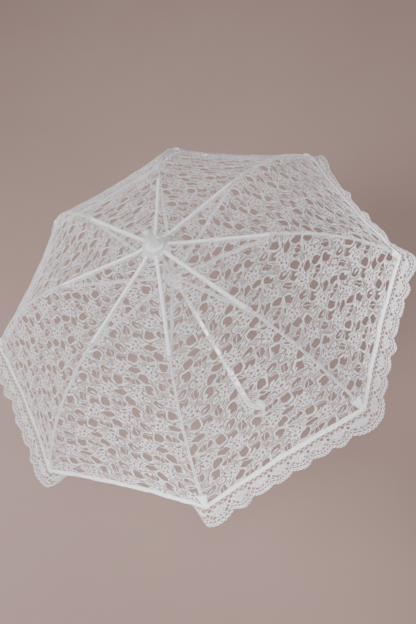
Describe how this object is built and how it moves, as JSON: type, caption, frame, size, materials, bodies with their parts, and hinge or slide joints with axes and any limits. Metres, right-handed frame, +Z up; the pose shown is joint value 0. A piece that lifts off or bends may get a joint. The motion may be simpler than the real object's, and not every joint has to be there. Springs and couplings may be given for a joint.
{
  "type": "lace parasol",
  "caption": "Open dome-shaped parasol of white floral lace on folding ribs, with a sliding runner, a thin straight shaft, a rounded ferrule and a J-shaped handle.",
  "frame": {"origin": "middle of the straight grip of the handle, on the shaft's axis", "axes": "+Z up the shaft towards the ferrule; the handle's hook points along -Y; the ribs stand at 22.5 degrees and every 45 degrees from +X"},
  "size_m": [0.796, 0.796, 0.7319],
  "materials": {
    "lace": "matte",
    "frame_plastic": "satin",
    "shaft_enamel": "satin",
    "handle_plastic": "gloss",
    "ferrule_plastic": "satin",
    "washer_plastic": "matte",
    "rib_wire": "satin",
    "tip_plastic": "gloss",
    "wire_steel": "satin",
    "pin_steel": "satin"
  },
  "bodies": {
    "shaft": {"shaft_tube": "shaft_enamel", "top_notch": "frame_plastic", "notch_ring_wire": "wire_steel", "crown_washer": "washer_plastic", "ferrule": "ferrule_plastic", "runner_stop_pin": "pin_steel", "handle_collar": "handle_plastic", "handle": "handle_plastic"},
    "catch": {"catch_spring": "pin_steel"},
    "runner": {"runner": "frame_plastic", "runner_ring_wire": "wire_steel"},
    "rib_1": {"rib_1": "frame_plastic", "joint_pin_1": "pin_steel", "canopy_gore_1": "lace"},
    "wire_1": {"outer_rib_wire_1": "rib_wire", "rib_tip_cap_1": "tip_plastic"},
    "stretcher_1": {"stretcher_1": "frame_plastic"},
    "rib_2": {"rib_2": "frame_plastic", "joint_pin_2": "pin_steel", "canopy_gore_2": "lace"},
    "wire_2": {"outer_rib_wire_2": "rib_wire", "rib_tip_cap_2": "tip_plastic"},
    "stretcher_2": {"stretcher_2": "frame_plastic"},
    "rib_3": {"rib_3": "frame_plastic", "joint_pin_3": "pin_steel", "canopy_gore_3": "lace"},
    "wire_3": {"outer_rib_wire_3": "rib_wire", "rib_tip_cap_3": "tip_plastic"},
    "stretcher_3": {"stretcher_3": "frame_plastic"},
    "rib_4": {"rib_4": "frame_plastic", "joint_pin_4": "pin_steel", "canopy_gore_4": "lace"},
    "wire_4": {"outer_rib_wire_4": "rib_wire", "rib_tip_cap_4": "tip_plastic"},
    "stretcher_4": {"stretcher_4": "frame_plastic"},
    "rib_5": {"rib_5": "frame_plastic", "joint_pin_5": "pin_steel", "canopy_gore_5": "lace"},
    "wire_5": {"outer_rib_wire_5": "rib_wire", "rib_tip_cap_5": "tip_plastic"},
    "stretcher_5": {"stretcher_5": "frame_plastic"},
    "rib_6": {"rib_6": "frame_plastic", "joint_pin_6": "pin_steel", "canopy_gore_6": "lace"},
    "wire_6": {"outer_rib_wire_6": "rib_wire", "rib_tip_cap_6": "tip_plastic"},
    "stretcher_6": {"stretcher_6": "frame_plastic"},
    "rib_7": {"rib_7": "frame_plastic", "joint_pin_7": "pin_steel", "canopy_gore_7": "lace"},
    "wire_7": {"outer_rib_wire_7": "rib_wire", "rib_tip_cap_7": "tip_plastic"},
    "stretcher_7": {"stretcher_7": "frame_plastic"},
    "rib_8": {"rib_8": "frame_plastic", "joint_pin_8": "pin_steel", "canopy_gore_8": "lace"},
    "wire_8": {"outer_rib_wire_8": "rib_wire", "rib_tip_cap_8": "tip_plastic"},
    "stretcher_8": {"stretcher_8": "frame_plastic"}
  },
  "joints": [
    {"name": "rib_1_fold", "type": "hinge", "parent": "shaft", "child": "rib_1", "pos_m": [0.01109, 0.00459, 0.576], "axis": [-0.3827, 0.9239, 0], "range_deg": [0, 74], "deforming": ["canopy_gore_1", "canopy_gore_2", "canopy_gore_3", "canopy_gore_4", "canopy_gore_5", "canopy_gore_6", "canopy_gore_7", "canopy_gore_8", "catch_spring"]},
    {"name": "wire_1_flex", "type": "hinge", "parent": "rib_1", "child": "wire_1", "pos_m": [0.182, 0.07539, 0.53], "axis": [-0.3827, 0.9239, 0], "range_deg": [-19.5, 0]},
    {"name": "stretcher_1_swing", "type": "hinge", "parent": "rib_1", "child": "stretcher_1", "pos_m": [0.182, 0.07539, 0.53], "axis": [-0.3827, 0.9239, 0], "range_deg": [-148, 0]},
    {"name": "rib_2_fold", "type": "hinge", "parent": "shaft", "child": "rib_2", "pos_m": [0.01109, -0.00459, 0.576], "axis": [0.3827, 0.9239, 0], "range_deg": [0, 74]},
    {"name": "wire_2_flex", "type": "hinge", "parent": "rib_2", "child": "wire_2", "pos_m": [0.182, -0.07539, 0.53], "axis": [0.3827, 0.9239, 0], "range_deg": [-19.5, 0]},
    {"name": "stretcher_2_swing", "type": "hinge", "parent": "rib_2", "child": "stretcher_2", "pos_m": [0.182, -0.07539, 0.53], "axis": [0.3827, 0.9239, 0], "range_deg": [-148, 0]},
    {"name": "rib_3_fold", "type": "hinge", "parent": "shaft", "child": "rib_3", "pos_m": [0.00459, -0.01109, 0.576], "axis": [0.9239, 0.3827, 0], "range_deg": [0, 74]},
    {"name": "wire_3_flex", "type": "hinge", "parent": "rib_3", "child": "wire_3", "pos_m": [0.07539, -0.182, 0.53], "axis": [0.9239, 0.3827, 0], "range_deg": [-19.5, 0]},
    {"name": "stretcher_3_swing", "type": "hinge", "parent": "rib_3", "child": "stretcher_3", "pos_m": [0.07539, -0.182, 0.53], "axis": [0.9239, 0.3827, 0], "range_deg": [-148, 0]},
    {"name": "rib_4_fold", "type": "hinge", "parent": "shaft", "child": "rib_4", "pos_m": [-0.00459, -0.01109, 0.576], "axis": [0.9239, -0.3827, 0], "range_deg": [0, 74]},
    {"name": "wire_4_flex", "type": "hinge", "parent": "rib_4", "child": "wire_4", "pos_m": [-0.07539, -0.182, 0.53], "axis": [0.9239, -0.3827, 0], "range_deg": [-19.5, 0]},
    {"name": "stretcher_4_swing", "type": "hinge", "parent": "rib_4", "child": "stretcher_4", "pos_m": [-0.07539, -0.182, 0.53], "axis": [0.9239, -0.3827, 0], "range_deg": [-148, 0]},
    {"name": "rib_5_fold", "type": "hinge", "parent": "shaft", "child": "rib_5", "pos_m": [-0.01109, -0.00459, 0.576], "axis": [0.3827, -0.9239, 0], "range_deg": [0, 74]},
    {"name": "wire_5_flex", "type": "hinge", "parent": "rib_5", "child": "wire_5", "pos_m": [-0.182, -0.07539, 0.53], "axis": [0.3827, -0.9239, 0], "range_deg": [-19.5, 0]},
    {"name": "stretcher_5_swing", "type": "hinge", "parent": "rib_5", "child": "stretcher_5", "pos_m": [-0.182, -0.07539, 0.53], "axis": [0.3827, -0.9239, 0], "range_deg": [-148, 0]},
    {"name": "rib_6_fold", "type": "hinge", "parent": "shaft", "child": "rib_6", "pos_m": [-0.01109, 0.00459, 0.576], "axis": [-0.3827, -0.9239, 0], "range_deg": [0, 74]},
    {"name": "wire_6_flex", "type": "hinge", "parent": "rib_6", "child": "wire_6", "pos_m": [-0.182, 0.07539, 0.53], "axis": [-0.3827, -0.9239, 0], "range_deg": [-19.5, 0]},
    {"name": "stretcher_6_swing", "type": "hinge", "parent": "rib_6", "child": "stretcher_6", "pos_m": [-0.182, 0.07539, 0.53], "axis": [-0.3827, -0.9239, 0], "range_deg": [-148, 0]},
    {"name": "rib_7_fold", "type": "hinge", "parent": "shaft", "child": "rib_7", "pos_m": [-0.00459, 0.01109, 0.576], "axis": [-0.9239, -0.3827, 0], "range_deg": [0, 74]},
    {"name": "wire_7_flex", "type": "hinge", "parent": "rib_7", "child": "wire_7", "pos_m": [-0.07539, 0.182, 0.53], "axis": [-0.9239, -0.3827, 0], "range_deg": [-19.5, 0]},
    {"name": "stretcher_7_swing", "type": "hinge", "parent": "rib_7", "child": "stretcher_7", "pos_m": [-0.07539, 0.182, 0.53], "axis": [-0.9239, -0.3827, 0], "range_deg": [-148, 0]},
    {"name": "rib_8_fold", "type": "hinge", "parent": "shaft", "child": "rib_8", "pos_m": [0.00459, 0.01109, 0.576], "axis": [-0.9239, 0.3827, 0], "range_deg": [0, 74]},
    {"name": "wire_8_flex", "type": "hinge", "parent": "rib_8", "child": "wire_8", "pos_m": [0.07539, 0.182, 0.53], "axis": [-0.9239, 0.3827, 0], "range_deg": [-19.5, 0]},
    {"name": "stretcher_8_swing", "type": "hinge", "parent": "rib_8", "child": "stretcher_8", "pos_m": [0.07539, 0.182, 0.53], "axis": [-0.9239, 0.3827, 0], "range_deg": [-148, 0]},
    {"name": "runner_travel", "type": "hinge", "parent": "stretcher_1", "child": "runner", "pos_m": [0.01109, 0.00459, 0.484], "axis": [-0.3827, 0.9239, 0], "range_deg": [0, 74]},
    {"name": "catch_press", "type": "hinge", "parent": "shaft", "child": "catch", "pos_m": [0, -0.0023, 0.4117], "axis": [-1, 0, 0], "range_deg": [0, 4.8], "stiffness_Nm_per_rad": 1.5, "springref_deg": -2.86}
  ],
  "couplings": [
    {"joint": "wire_1_flex", "follows": "rib_1_fold", "ratio": -0.26},
    {"joint": "stretcher_1_swing", "follows": "rib_1_fold", "ratio": -2},
    {"joint": "rib_2_fold", "follows": "rib_1_fold", "ratio": 1},
    {"joint": "wire_2_flex", "follows": "rib_1_fold", "ratio": -0.26},
    {"joint": "stretcher_2_swing", "follows": "rib_1_fold", "ratio": -2},
    {"joint": "rib_3_fold", "follows": "rib_1_fold", "ratio": 1},
    {"joint": "wire_3_flex", "follows": "rib_1_fold", "ratio": -0.26},
    {"joint": "stretcher_3_swing", "follows": "rib_1_fold", "ratio": -2},
    {"joint": "rib_4_fold", "follows": "rib_1_fold", "ratio": 1},
    {"joint": "wire_4_flex", "follows": "rib_1_fold", "ratio": -0.26},
    {"joint": "stretcher_4_swing", "follows": "rib_1_fold", "ratio": -2},
    {"joint": "rib_5_fold", "follows": "rib_1_fold", "ratio": 1},
    {"joint": "wire_5_flex", "follows": "rib_1_fold", "ratio": -0.26},
    {"joint": "stretcher_5_swing", "follows": "rib_1_fold", "ratio": -2},
    {"joint": "rib_6_fold", "follows": "rib_1_fold", "ratio": 1},
    {"joint": "wire_6_flex", "follows": "rib_1_fold", "ratio": -0.26},
    {"joint": "stretcher_6_swing", "follows": "rib_1_fold", "ratio": -2},
    {"joint": "rib_7_fold", "follows": "rib_1_fold", "ratio": 1},
    {"joint": "wire_7_flex", "follows": "rib_1_fold", "ratio": -0.26},
    {"joint": "stretcher_7_swing", "follows": "rib_1_fold", "ratio": -2},
    {"joint": "rib_8_fold", "follows": "rib_1_fold", "ratio": 1},
    {"joint": "wire_8_flex", "follows": "rib_1_fold", "ratio": -0.26},
    {"joint": "stretcher_8_swing", "follows": "rib_1_fold", "ratio": -2},
    {"joint": "runner_travel", "follows": "rib_1_fold", "ratio": 1}
  ]
}
